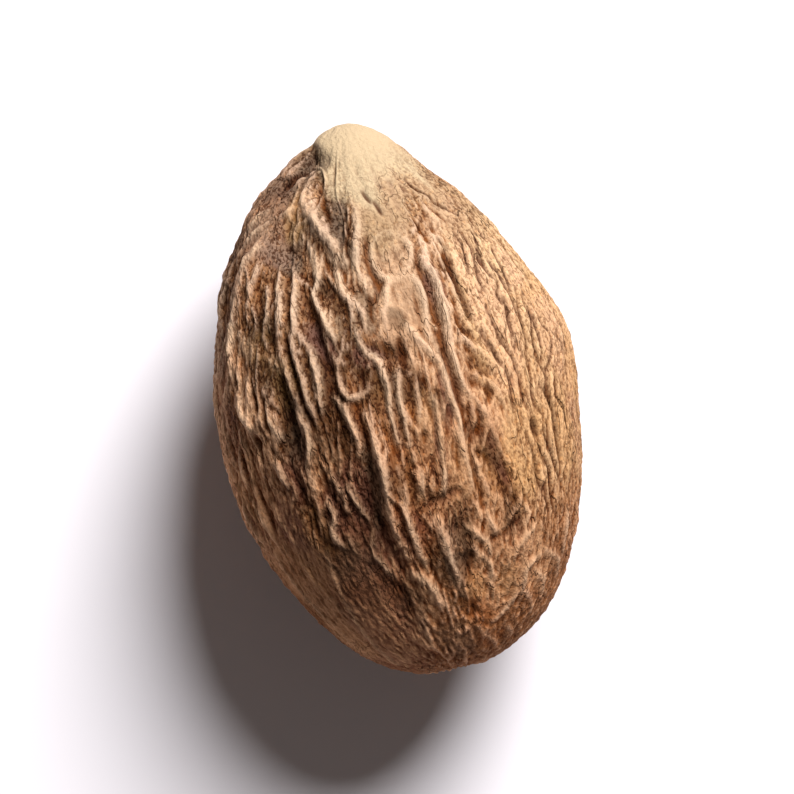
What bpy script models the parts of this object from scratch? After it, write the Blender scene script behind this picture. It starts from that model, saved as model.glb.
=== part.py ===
"""A whole dried nutmeg: the shelled seed, one solid, lying on its side.

+Y runs to the pale pointed end, +X to the seed's right as seen from above, and +Z is up.  The
origin is on the surface that the seed lies on, under the middle of the seed.  All sizes are in
millimetres until the finished solid is turned into metres.
"""

import math

import bmesh
import bpy
from mathutils import Vector

# The seed's outside sizes
LENGTH = 30.0
WIDTH = 19.8
HEIGHT = 18.9
REST_DEPTH = 0.32        # how much of the round belly the flat resting spot takes off
METRES = 0.001

# The smooth form: how far each side stands from the long axis, and how the girth tapers
REACH_LEFT = 9.7
REACH_RIGHT = 9.8
REACH_UP = 9.4
REACH_DOWN = 9.5
BELLY = 0.47             # the widest place, as a share of the length from the pointed end
BELLY_SOFTNESS = 0.12    # keeps the belly round where the two tapers meet
POINT_BEND = 1.26        # the pointed end narrows early and almost straight
POINT_ROUND = 0.61
BLUNT_BEND = 2.1         # the blunt end is close to an ellipse
BLUNT_ROUND = 0.46
POINT_LEAN = 0.8         # the point stands this far to the right of the long axis
LEAN_FALL = 12.0         # and comes back to the axis within a tenth of the length

# Lengthwise wrinkles that wander, join and part
WRINKLES = 21            # around the belly
WRINKLES_BESIDE = 16     # a second set, which breaks the first into joins and forks
WRINKLE_HEIGHT = 0.50
WRINKLE_WANDER = 0.05    # radians that a crest strays from its own meridian
WRINKLE_SHARPNESS = 1.4  # above 1 the crests are narrower than the hollows
CALM_SIDE = 0.45         # share of the wrinkle height left on the calm right flank
WRINKLE_START = (0.08, 0.24)   # the wrinkles rise between these shares of the length
WRINKLE_END = (0.86, 0.98)     # and sink between these
REST_CALM = (3.2, 5.5)   # the belly is smooth this near to the middle of the resting spot

# The pale button at the pointed end, where the seed was joined to its shell
BUTTON_AT = (0.9, 14.6, 0.3)
BUTTON_RADIUS = 3.4
BUTTON_HEIGHT = 0.25
WAIST_RADIUS = 5.0
WAIST_WIDTH = 1.8
WAIST_DEPTH = 0.15
NICK_AT = (-1.3, 13.6, 2.0)    # a nick on top, at the button's left edge
NICK_RADIUS = 1.3
NICK_DEPTH = 0.45

# The small pit in the middle of the blunt end
PIT_AT = (-0.3, -15.0, 0.2)
PIT_RADIUS = 1.7
PIT_DEPTH = 0.55

# Wide swellings of the flanks: place, radius, height
SWELLINGS = (
    ((-3.6, 12.6, 0.4), 3.6, 0.50),    # left of the button
    ((-6.4, 9.6, 1.5), 5.5, 0.65),     # left shoulder
    ((9.8, 1.2, 0.0), 5.0, 0.35),      # right flank, just above the belly
    ((-9.4, -3.5, 0.5), 5.5, 0.25),    # left flank, low down
)

# Single folds on the upper side: path seen from above, half width, height (negative is a furrow)
FOLDS = (
    (((-1.4, 12.2), (-2.0, 10.8), (-1.7, 9.4), (-1.2, 8.2)), 1.3, 0.40),     # ridge at the button
    (((-0.9, 11.4), (-0.4, 10.0), (-0.1, 8.8)), 1.1, -0.50),                 # furrow beside it
    (((2.2, 6.4), (2.8, 4.8), (2.5, 2.8), (2.8, -1.5), (2.9, -6.5)), 1.2, 0.30),   # long crest
    (((-2.6, -0.5), (-2.8, -4.5), (-2.2, -8.4)), 1.3, -0.40),                # long furrow
    (((-1.1, 1.4), (-1.3, -3.0), (-0.9, -8.0)), 1.3, 0.35),                  # crest along the furrow
)
RINGS = (                # ring-shaped folds below the button: middle, radius, half width, height
    ((1.6, 7.7), 1.2, 0.9, 0.25),
    ((1.6, 5.1), 1.2, 0.9, 0.25),
)

CELLS_PER_PANEL = 28     # mesh cells along each side of the six panels that make up the seed
CREASE_ANGLE = math.radians(50.0)

SHELL_COLOUR = (0.38, 0.21, 0.115, 1.0)
SHELL_ROUGHNESS = 0.72


def rise(value, start, end):
    """Smooth step: 0 below start, 1 above end."""
    share = min(max((value - start) / (end - start), 0.0), 1.0)
    return share * share * (3.0 - 2.0 * share)


def mound(distance, radius):
    """Smooth round hill: 1 in the middle, 0 from the radius outwards."""
    share = min(distance / radius, 1.0)
    return (1.0 - share * share) ** 2


def taper(along):
    """Girth at a share of the length from the pointed end: 1 at the belly, 0 at both ends."""
    if along < BELLY:
        away = (BELLY - along) / BELLY
        softness = BELLY_SOFTNESS * (1.0 - away)
        away = math.hypot(away, softness) - softness
        return (1.0 - away ** POINT_BEND) ** POINT_ROUND
    away = (along - BELLY) / (1.0 - BELLY)
    return (1.0 - away ** BLUNT_BEND) ** BLUNT_ROUND


def share_along(direction):
    """Share of the length from the pointed end that a direction from the seed's middle meets."""
    return min(max((1.0 - direction.y) / 2.0, 0.0), 1.0)


def smooth_point(direction):
    """Where a direction from the seed's middle meets the smooth form."""
    along = share_along(direction)
    ring = math.hypot(direction.x, direction.z)
    girth = taper(along) / ring if ring > 0.0 else 0.0
    reach_x = REACH_RIGHT if direction.x > 0.0 else REACH_LEFT
    reach_z = REACH_UP if direction.z > 0.0 else REACH_DOWN
    lean = POINT_LEAN * (1.0 - along) ** LEAN_FALL
    return Vector((
        lean + reach_x * girth * direction.x,
        LENGTH * (0.5 - along),
        reach_z * girth * direction.z,
    ))


def wrinkle(direction, along, point):
    """Height of the wandering lengthwise wrinkles."""
    turn = math.atan2(direction.x, direction.z)
    wander = WRINKLE_WANDER * (
        math.sin(7.3 * along + 2.0 * turn)
        + 0.6 * math.sin(17.0 * along - 3.0 * turn + 1.0)
        + 0.3 * math.sin(31.0 * along + 5.0 * turn + 2.0)
    )
    first = math.cos(WRINKLES * (turn + wander))
    beside = math.cos(WRINKLES_BESIDE * (turn + wander) + 5.0 * along)
    crest = (2.0 + first + beside) / 4.0
    on_right = rise(math.sin(turn), 0.3, 0.9)
    strength = 1.0 - (1.0 - CALM_SIDE) * on_right
    strength *= rise(along, *WRINKLE_START) * (1.0 - rise(along, *WRINKLE_END))
    if point.z < 0.0:
        strength *= rise(math.hypot(point.x, point.y), *REST_CALM)
    return WRINKLE_HEIGHT * strength * crest ** WRINKLE_SHARPNESS


def distance_to_path(point, path):
    """Distance seen from above between a point and a path of straight pieces."""
    nearest = math.inf
    for (start_x, start_y), (end_x, end_y) in zip(path, path[1:]):
        run = Vector((end_x - start_x, end_y - start_y))
        offset = Vector((point.x - start_x, point.y - start_y))
        share = min(max(offset.dot(run) / run.length_squared, 0.0), 1.0)
        nearest = min(nearest, (offset - share * run).length)
    return nearest


def single_folds(point):
    """Height of the few folds that are each a feature of their own."""
    if point.z < 0.0:
        return 0.0
    height = 0.0
    for path, half_width, peak in FOLDS:
        height += peak * mound(distance_to_path(point, path), half_width)
    for (middle_x, middle_y), radius, half_width, peak in RINGS:
        from_ring = abs(math.hypot(point.x - middle_x, point.y - middle_y) - radius)
        height += peak * mound(from_ring, half_width)
    return height


def ends_and_flanks(point):
    """Height of the button, its waist and nick, the pit and the swellings of the flanks."""
    from_button = (point - Vector(BUTTON_AT)).length
    height = BUTTON_HEIGHT * mound(from_button, BUTTON_RADIUS)
    height -= WAIST_DEPTH * mound(abs(from_button - WAIST_RADIUS), WAIST_WIDTH)
    height -= NICK_DEPTH * mound((point - Vector(NICK_AT)).length, NICK_RADIUS)
    height -= PIT_DEPTH * mound((point - Vector(PIT_AT)).length, PIT_RADIUS)
    for place, radius, peak in SWELLINGS:
        height += peak * mound((point - Vector(place)).length, radius)
    return height


def round_cage():
    """A sphere of six square panels, whose cells are all close to one size."""
    cage = bmesh.new()
    bmesh.ops.create_cube(cage, size=2.0)
    bmesh.ops.subdivide_edges(
        cage, edges=cage.edges[:], cuts=CELLS_PER_PANEL - 1, use_grid_fill=True
    )
    for vertex in cage.verts:
        even = [math.tan(part * math.pi / 4.0) for part in vertex.co]
        vertex.co = Vector(even).normalized()
    return cage


def raise_relief(cage):
    """Turn the sphere into the smooth seed, then lift its skin into button, folds and wrinkles."""
    directions = {vertex: vertex.co.copy() for vertex in cage.verts}
    for vertex, direction in directions.items():
        vertex.co = smooth_point(direction)
    cage.normal_update()
    lifted = {}
    for vertex, direction in directions.items():
        point = vertex.co
        height = wrinkle(direction, share_along(direction), point)
        height += single_folds(point) + ends_and_flanks(point)
        lifted[vertex] = point + height * vertex.normal
    for vertex, place in lifted.items():
        vertex.co = place


def cut_resting_spot(cage):
    """Take a thin slice off the belly, so that the seed lies still on a flat spot."""
    lowest = min(vertex.co.z for vertex in cage.verts)
    cut = bmesh.ops.bisect_plane(
        cage,
        geom=cage.verts[:] + cage.edges[:] + cage.faces[:],
        dist=1e-5,
        plane_co=(0.0, 0.0, lowest + REST_DEPTH),
        plane_no=(0.0, 0.0, -1.0),
        clear_outer=True,
    )
    rim = [item for item in cut["geom_cut"] if isinstance(item, bmesh.types.BMEdge)]
    bmesh.ops.contextual_create(cage, geom=rim)
    bmesh.ops.recalc_face_normals(cage, faces=cage.faces[:])


def fit_to_size(cage):
    """Bring the solid to its outside sizes, in metres, standing over the origin."""
    low = Vector(min(vertex.co[axis] for vertex in cage.verts) for axis in range(3))
    high = Vector(max(vertex.co[axis] for vertex in cage.verts) for axis in range(3))
    base = Vector(((low.x + high.x) / 2.0, (low.y + high.y) / 2.0, low.z))
    size = Vector((WIDTH, LENGTH, HEIGHT))
    for vertex in cage.verts:
        for axis in range(3):
            offset = vertex.co[axis] - base[axis]
            vertex.co[axis] = offset * size[axis] / (high[axis] - low[axis]) * METRES


def shell_material():
    """Dry, matt, warm brown seed."""
    material = bpy.data.materials.new("seed_shell")
    material.use_nodes = True
    shader = material.node_tree.nodes["Principled BSDF"]
    shader.inputs["Base Color"].default_value = SHELL_COLOUR
    shader.inputs["Roughness"].default_value = SHELL_ROUGHNESS
    shader.inputs["Metallic"].default_value = 0.0
    return material


def build_nutmeg():
    """The whole seed as one closed solid."""
    cage = round_cage()
    raise_relief(cage)
    cut_resting_spot(cage)
    fit_to_size(cage)
    mesh = bpy.data.meshes.new("nutmeg")
    cage.to_mesh(mesh)
    cage.free()
    mesh.shade_smooth()
    mesh.set_sharp_from_angle(angle=CREASE_ANGLE)
    mesh.materials.append(shell_material())
    nutmeg = bpy.data.objects.new("nutmeg", mesh)
    bpy.context.scene.collection.objects.link(nutmeg)
    return nutmeg


for leftover in list(bpy.data.objects):
    bpy.data.objects.remove(leftover, do_unlink=True)
build_nutmeg()
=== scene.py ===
"""Looks of the whole nutmeg: a finely wrinkled skin in place of the plain solid, a floor and light.

The skin has the solid's form and box.  Its wrinkles are worked out on a grid that is wrapped round
the seed: the columns go round it (turn, 0 on top, rising to its right) and the rows run along it,
from the pale point to the blunt end.  Sizes are in millimetres until the mesh is made.
"""

import math

import bmesh
import bpy
import numpy as np
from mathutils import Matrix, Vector


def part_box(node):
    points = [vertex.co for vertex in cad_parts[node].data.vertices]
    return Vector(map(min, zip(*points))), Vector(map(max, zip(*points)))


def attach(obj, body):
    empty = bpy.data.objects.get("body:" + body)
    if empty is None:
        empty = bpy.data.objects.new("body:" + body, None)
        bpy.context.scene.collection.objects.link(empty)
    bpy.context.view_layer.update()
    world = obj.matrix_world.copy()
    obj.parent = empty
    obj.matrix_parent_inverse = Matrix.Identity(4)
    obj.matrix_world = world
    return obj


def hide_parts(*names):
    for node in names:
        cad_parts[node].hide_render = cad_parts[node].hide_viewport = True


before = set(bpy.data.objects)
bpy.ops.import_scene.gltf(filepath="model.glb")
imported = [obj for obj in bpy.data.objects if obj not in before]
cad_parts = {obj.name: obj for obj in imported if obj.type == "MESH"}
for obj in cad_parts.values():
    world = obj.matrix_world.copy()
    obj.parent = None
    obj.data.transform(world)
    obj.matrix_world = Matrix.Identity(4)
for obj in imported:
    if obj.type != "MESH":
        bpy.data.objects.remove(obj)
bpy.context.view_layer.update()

NODE = "nutmeg"
MM = 0.001
BOX_LOW, BOX_HIGH = (np.array(corner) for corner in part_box(NODE))
WIDTH, LENGTH, HEIGHT = (BOX_HIGH - BOX_LOW) / MM
BOX_MARGIN = 0.004       # the skin ends this far inside the solid's box

# The smooth form, as the solid has it
REACH_LEFT = 0.490 * WIDTH
REACH_RIGHT = 0.495 * WIDTH
REACH_UP = 0.497 * HEIGHT
REACH_DOWN = 0.503 * HEIGHT
REST_DEPTH = 0.32
BELLY = 0.47
BELLY_SOFTNESS = 0.12
POINT_BEND = 1.26
POINT_ROUND = 0.61
BLUNT_BEND = 2.1
BLUNT_ROUND = 0.46
POINT_LEAN = 0.8
LEAN_FALL = 12.0
BUTTON_AT = (0.9, 14.6, 0.3)
BUTTON_RADIUS = 3.4
BUTTON_HEIGHT = 0.25
WAIST_RADIUS = 5.0
WAIST_WIDTH = 1.8
WAIST_DEPTH = 0.15
NICK_AT = (-1.3, 13.6, 2.0)
NICK_RADIUS = 1.3
NICK_DEPTH = 0.45
PIT_AT = (-0.3, -15.0, 0.2)
PIT_RADIUS = 1.7
PIT_DEPTH = 0.55
SWELLINGS = (
    ((-3.6, 12.6, 0.4), 3.6, 0.50),
    ((-6.4, 9.6, 1.5), 5.5, 0.65),
    ((9.8, 1.2, 0.0), 5.0, 0.35),
    ((-9.4, -3.5, 0.5), 5.5, 0.25),
)

# The grid wrapped round the seed, and the mesh made from it
COLUMNS = 1024
ROWS = 576
CELLS_PER_PANEL = 128
CROWDING = 0.33          # how much closer the mesh's points lie on top than underneath

# The wrinkled skin
WRINKLE_HEIGHT = 0.42
DETAIL_HEIGHT = 0.030


def rise(value, start, end):
    """Smooth step: 0 below start, 1 above end."""
    share = np.clip((value - start) / (end - start), 0.0, 1.0)
    return share * share * (3.0 - 2.0 * share)


def mound(distance, radius):
    """Smooth round hill: 1 in the middle, 0 from the radius outwards."""
    share = np.minimum(distance / radius, 1.0)
    return (1.0 - share * share) ** 2


def taper(along):
    """Girth at a share of the length from the point: 1 at the belly, 0 at both ends."""
    before = np.clip((BELLY - along) / BELLY, 0.0, 1.0)
    softness = BELLY_SOFTNESS * (1.0 - before)
    before = np.hypot(before, softness) - softness
    after = np.clip((along - BELLY) / (1.0 - BELLY), 0.0, 1.0)
    point_side = (1.0 - before ** POINT_BEND) ** POINT_ROUND
    blunt_side = (1.0 - after ** BLUNT_BEND) ** BLUNT_ROUND
    return np.where(along < BELLY, point_side, blunt_side)


def smooth_point(along, turn):
    """Points of the smooth form, in millimetres, as an array whose last axis is x, y, z."""
    girth = taper(along)
    side, up = np.sin(turn), np.cos(turn)
    reach_x = np.where(side > 0.0, REACH_RIGHT, REACH_LEFT)
    reach_z = np.where(up > 0.0, REACH_UP, REACH_DOWN)
    lean = POINT_LEAN * (1.0 - along) ** LEAN_FALL
    return np.stack(np.broadcast_arrays(
        lean + reach_x * girth * side, LENGTH * (0.5 - along), reach_z * girth * up
    ), axis=-1)


# ---------------------------------------------------------------- the grid and its blurs

def meridian_lengths(steps=4000):
    """Shares of the length and the distances along the skin from the point that go with them."""
    along = (1.0 - np.cos(np.linspace(0.0, math.pi, steps + 1))) / 2.0
    radius = WIDTH / 2.0 * taper(along)
    pieces = np.hypot(np.diff(radius), LENGTH * np.diff(along))
    return along, np.concatenate([[0.0], np.cumsum(pieces)])


PATH_ALONG, PATH_LENGTH = meridian_lengths()
ROW_STEP = PATH_LENGTH[-1] / ROWS
ROW_DISTANCE = (np.arange(ROWS) + 0.5) * ROW_STEP
ROW_ALONG = np.interp(ROW_DISTANCE, PATH_LENGTH, PATH_ALONG)
ROW_RADIUS = WIDTH / 2.0 * taper(ROW_ALONG)
COLUMN_TURN = (np.arange(COLUMNS) + 0.5) / COLUMNS * 2.0 * math.pi - math.pi
MODES = np.arange(COLUMNS // 2 + 1)
GRID = smooth_point(ROW_ALONG[:, None], COLUMN_TURN[None, :])
GRID_X, GRID_Y, GRID_Z = GRID[..., 0], GRID[..., 1], GRID[..., 2]
SMALLEST_RADIUS = 0.6


def blur_across(field, width):
    """Blur round the seed by the same width in millimetres on every row."""
    radius = np.maximum(ROW_RADIUS, SMALLEST_RADIUS)[:, None]
    keep = np.exp(-0.5 * (MODES[None, :] / radius * width) ** 2)
    return np.fft.irfft(np.fft.rfft(field, axis=1) * keep, n=COLUMNS, axis=1)


def blur_along(field, width):
    """Blur along the seed by a width in millimetres, on over the ends to the far side."""
    loop = np.concatenate([field, np.roll(field[::-1], COLUMNS // 2, axis=1)])
    waves = 2.0 * math.pi * np.fft.rfftfreq(2 * ROWS, ROW_STEP)[:, None]
    keep = np.exp(-0.5 * (waves * width) ** 2)
    return np.fft.irfft(np.fft.rfft(loop, axis=0) * keep, n=2 * ROWS, axis=0)[:ROWS]


def blur(field, width):
    """Blur by a width in millimetres in every direction."""
    return blur_along(blur_across(field, width), width)


def noise(across, along, seed):
    """Smooth noise of unit spread, with grains of the given sizes in millimetres."""
    grain = np.random.default_rng(seed).standard_normal((ROWS, COLUMNS))
    grain = blur_along(blur_across(grain, across), along)
    return grain / grain.std()


def band(spacing, stretch, seed):
    """Noise of unit spread whose crests lie about this far apart and are longer than wide."""
    grain = np.random.default_rng(seed).standard_normal((ROWS, COLUMNS))
    near = spacing / 6.54
    grain = blur_along(blur_across(grain, near), near * stretch)
    grain -= blur_along(blur_across(grain, 1.7 * near), near * stretch)
    return grain / grain.std(axis=1, keepdims=True)


def thin_lines(spacing, stretch, seed, thinness):
    """Thin lines that wind round long cells: 1 on a line, falling towards 0 in the cells."""
    return (1.0 - np.abs(np.tanh(1.2 * band(2.0 * spacing, stretch, seed)))) ** thinness


def ridges(spacing, stretch, seed, width):
    """Crisp ridges that wind round long cells, each between two narrow grooves."""
    off = np.abs(band(2.0 * spacing, stretch, seed))
    crest = np.exp(-(off / width) ** 2)
    groove = np.exp(-((off - 2.4 * width) / (0.9 * width)) ** 2)
    return crest - 0.45 * groove


def turned(field, angle):
    """The field read at an angle further round the seed."""
    place = np.arange(COLUMNS)[None, :] + angle * COLUMNS / (2.0 * math.pi)
    low = np.floor(place).astype(int)
    part = place - low
    row = np.arange(ROWS)[:, None]
    return field[row, low % COLUMNS] * (1.0 - part) + field[row, (low + 1) % COLUMNS] * part


# ---------------------------------------------------------------- single folds, one by one

# Paths seen from above, across and along in millimetres from the middle of the seed
BOLD_CRESTS = (
    ((-1.5, 12.6), (-2.0, 11.8), (-1.95, 10.9), (-1.6, 9.8), (-1.15, 8.8), (-0.9, 7.8)),
    ((0.5, 10.4), (0.4, 9.3), (0.0, 8.2), (-0.3, 7.2), (-0.2, 6.2)),
    ((-1.8, -0.3), (-1.7, -1.3), (-1.7, -2.4), (-1.6, -3.6), (-1.7, -5.1), (-1.6, -6.6), (-1.3, -8.1)),
    ((-1.4, -9.0), (-0.7, -9.7), (-0.3, -10.6), (0.1, -11.5), (0.3, -12.1)),
    ((3.2, 7.6), (3.1, 6.7), (3.5, 5.7), (3.5, 3.8), (3.4, 1.6), (3.8, -0.2), (4.3, -1.4)),
    ((-4.8, 9.5), (-5.5, 8.8), (-6.2, 8.0), (-7.0, 6.6)),
    ((0.6, -6.5), (0.9, -7.6), (0.7, -8.5), (1.0, -9.6), (1.15, -10.5)),
    ((-4.3, 8.0), (-4.55, 7.0), (-4.75, 6.0), (-5.0, 4.8), (-5.1, 3.9)),
    ((-7.9, 2.2), (-7.95, 1.4), (-7.65, 0.5), (-7.3, -0.1)),
    ((-5.7, 8.4), (-6.5, 7.3), (-7.1, 6.1), (-7.7, 4.8), (-8.0, 3.5)),
)
THIN_CRESTS = (
    ((1.5, 8.8), (0.9, 8.3), (0.6, 7.3), (0.9, 6.6), (1.5, 6.35)),
    ((1.5, 8.8), (2.3, 8.5), (2.7, 7.6), (2.4, 6.7), (1.5, 6.35)),
    ((1.5, 6.35), (0.9, 6.0), (0.7, 5.2), (0.3, 4.4), (0.2, 3.4)),
    ((1.5, 6.35), (2.4, 6.2), (2.75, 5.2), (2.6, 4.0), (2.4, 2.9)),
    ((1.3, 3.9), (2.1, 2.4), (2.6, 1.4), (2.7, 0.2), (2.9, -1.4), (2.8, -2.8), (2.95, -4.6), (2.9, -6.8)),
    ((-3.5, 7.9), (-3.9, 6.5), (-4.2, 5.4), (-4.5, 4.6), (-4.6, 3.7), (-4.45, 2.5), (-4.5, 1.2), (-4.35, 0.1)),
    ((-2.3, 8.9), (-2.2, 8.0), (-2.5, 7.1), (-3.0, 6.2), (-2.8, 5.0), (-2.6, 4.2)),
    ((-1.3, 8.0), (-1.5, 7.0), (-1.4, 6.0), (-0.8, 5.2), (-0.5, 4.0)),
    ((-5.0, 8.6), (-5.7, 7.6), (-6.2, 6.6), (-6.5, 5.6)),
    ((-5.0, 7.4), (-5.3, 6.4), (-5.5, 5.4)),
    ((-3.7, 3.6), (-3.75, 2.5), (-3.9, 1.5), (-3.95, 0.6)),
    ((-3.4, 1.1), (-2.9, 0.7), (-2.7, -0.2), (-2.5, -1.2), (-2.55, -2.2)),
    ((-1.9, 3.4), (-2.6, 2.8), (-2.8, 1.9), (-2.6, 1.0), (-1.9, 0.8), (-1.4, 1.1)),
    ((-1.2, 3.9), (-1.1, 2.8), (-0.6, 2.3), (-0.45, 1.4), (-0.5, -0.2), (-0.65, -1.4)),
    ((0.25, 1.6), (0.1, 0.7), (0.0, -0.9), (-0.05, -2.3)),
    ((1.1, 0.6), (0.9, -0.6), (0.5, -2.0), (0.1, -3.1)),
    ((0.35, -3.7), (0.2, -4.9)),
    ((1.8, -0.3), (1.85, -1.3), (1.65, -2.5), (1.55, -4.2), (1.3, -5.2)),
    ((-0.8, -3.4), (-0.75, -4.7), (-0.95, -5.6), (-0.85, -6.8), (-0.5, -8.4)),
    ((3.4, -3.2), (3.4, -4.6), (3.55, -5.5), (3.4, -6.8)),
    ((4.2, 2.4), (4.8, 1.9), (5.3, 1.1), (5.7, 0.2)),
    ((4.5, 0.5), (5.1, -0.2), (5.5, -1.2)),
    ((4.3, 7.6), (4.8, 6.8), (5.2, 5.8), (5.4, 4.4)),
    ((-5.3, 3.2), (-5.2, 1.8), (-5.2, 0.5), (-5.05, -0.8), (-5.3, -2.0)),
    ((-5.9, -2.0), (-5.5, -2.9), (-5.3, -3.8), (-5.2, -4.8)),
    ((-4.5, -2.4), (-4.2, -3.2), (-3.9, -4.1), (-3.9, -4.9)),
    ((-4.8, -4.0), (-4.6, -5.0), (-4.9, -5.8), (-4.6, -6.6)),
    ((-3.5, -3.6), (-3.2, -4.8), (-2.9, -5.6)),
    ((2.0, -7.2), (2.5, -7.8), (3.0, -8.3), (3.0, -9.0)),
    ((2.1, -8.4), (2.5, -9.0), (2.8, -9.5), (2.6, -10.6)),
    ((-7.7, -0.9), (-7.5, -2.1), (-7.4, -3.2)),
    ((-7.1, -0.8), (-6.9, -1.9), (-6.5, -3.0)),
    ((-5.6, -6.4), (-5.4, -7.9), (-5.2, -9.3), (-4.8, -10.9), (-4.4, -11.9), (-3.8, -13.2), (-3.3, -13.9)),
    ((-8.2, -6.3), (-7.7, -7.9), (-6.9, -9.6), (-6.1, -10.9), (-5.1, -12.3), (-4.1, -13.5)),
    ((-6.9, -7.4), (-6.0, -9.0), (-5.3, -10.4), (-4.7, -11.6)),
    ((-4.9, -8.4), (-4.85, -9.6), (-4.5, -10.8)),
    ((-4.2, -6.3), (-4.0, -6.9), (-3.85, -7.5)),
    ((-3.1, -6.7), (-3.0, -7.6), (-2.6, -8.4), (-2.45, -9.0)),
    ((-3.8, -11.8), (-3.4, -12.8), (-3.0, -13.6)),
    ((-3.6, -8.6), (-3.3, -9.8), (-3.1, -11.0)),
    ((-1.4, -11.0), (-1.3, -12.2), (-1.2, -13.4)),
    ((0.3, -12.2), (0.2, -13.2), (0.0, -14.0)),
    ((4.2, -11.4), (4.5, -10.4), (4.9, -9.9), (5.6, -9.6)),
    ((5.9, -9.4), (6.5, -10.2), (6.3, -11.2)),
    ((5.2, -10.4), (5.5, -11.0), (5.3, -11.8)),
    ((4.3, -11.2), (4.6, -12.0), (4.3, -12.9)),
    ((2.3, -12.6), (3.2, -12.0), (4.0, -11.3)),
    ((4.3, -9.1), (5.0, -8.4), (5.6, -8.0)),
    ((4.5, -7.2), (5.0, -6.8), (5.4, -7.2), (5.1, -7.7)),
    ((3.45, -5.9), (3.3, -7.1), (3.6, -8.0)),
    ((7.6, -7.6), (7.2, -9.0), (6.8, -10.0)),
    ((1.4, -12.6), (1.9, -13.4), (2.2, -13.9)),
    ((3.0, -13.0), (3.2, -13.6)),
    ((-7.0, -1.0), (-6.75, -1.9), (-6.6, -2.8)),
    ((-9.1, -3.1), (-9.0, -4.1), (-8.6, -5.6)),
    ((-8.5, 0.4), (-8.75, -1.0), (-8.7, -2.2)),
    ((-8.4, -3.4), (-8.2, -4.6), (-7.9, -5.8)),
    ((-7.6, -3.6), (-7.3, -4.8), (-6.9, -6.0)),
    ((-2.2, 12.2), (-3.2, 11.8), (-4.3, 11.2), (-5.2, 10.4)),
    ((-6.8, 8.2), (-7.6, 7.0), (-8.2, 5.8)),
    ((-2.9, 11.2), (-4.1, 10.8), (-5.2, 9.9), (-6.0, 9.0)),
)
BRIGHT_CRESTS = (
    ((1.8, -0.2), (1.65, -2.0), (1.55, -4.0), (1.35, -5.2)),
    ((-3.55, 7.5), (-3.8, 6.5), (-4.1, 5.5), (-4.55, 3.9), (-4.6, 2.6), (-4.5, 1.4), (-4.45, 0.4)),
    ((-3.7, 3.5), (-3.75, 2.6), (-3.8, 1.7), (-3.95, 0.5)),
    ((-2.35, 9.1), (-2.35, 8.2), (-2.5, 7.2), (-2.95, 6.3), (-2.7, 4.9), (-2.45, 3.9)),
    ((-1.3, 6.2), (-1.2, 5.0), (-1.3, 3.8), (-1.1, 3.0), (-0.5, 2.3), (-0.5, 0.4), (-0.6, -1.0), (-0.5, -2.0)),
    ((-2.7, 1.4), (-2.5, 0.85), (-1.7, 0.85)),
    ((-3.3, 1.0), (-2.9, 0.4), (-2.6, -0.5), (-2.55, -1.3)),
    ((0.1, 1.4), (0.0, -0.2), (0.0, -1.2), (0.05, -2.3)),
    ((2.6, 3.0), (2.8, 1.0), (2.9, -1.2), (3.0, -3.3)),
    ((3.3, 7.2), (3.5, 5.5), (3.55, 3.9), (3.5, 1.2), (3.8, -0.7)),
    ((-1.7, -2.4), (-1.6, -4.0), (-1.7, -6.2), (-1.4, -8.0)),
    ((-0.95, -4.4), (-0.85, -6.0), (-0.75, -7.3), (-0.5, -8.7)),
    ((-1.3, -8.9), (-0.4, -10.0), (0.15, -11.3)),
    ((0.7, -6.8), (0.75, -8.0), (0.95, -9.3), (1.05, -10.2)),
    ((-4.95, -5.3), (-4.8, -6.2), (-4.5, -6.8)),
    ((-6.35, 2.6), (-6.6, 1.4), (-6.6, 0.4), (-6.3, -0.4)),
    ((-5.25, 2.9), (-5.15, 1.4), (-5.0, 0.2), (-5.05, -1.0), (-5.35, -2.2), (-5.2, -3.4)),
    ((-3.1, -7.6), (-2.6, -8.5), (-2.35, -9.0)),
    ((-5.4, -6.8), (-5.15, -9.2), (-4.75, -11.3), (-4.0, -12.8), (-3.3, -13.8)),
    ((-8.2, -6.6), (-7.5, -8.4), (-6.5, -10.4), (-5.4, -12.1)),
)
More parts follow.
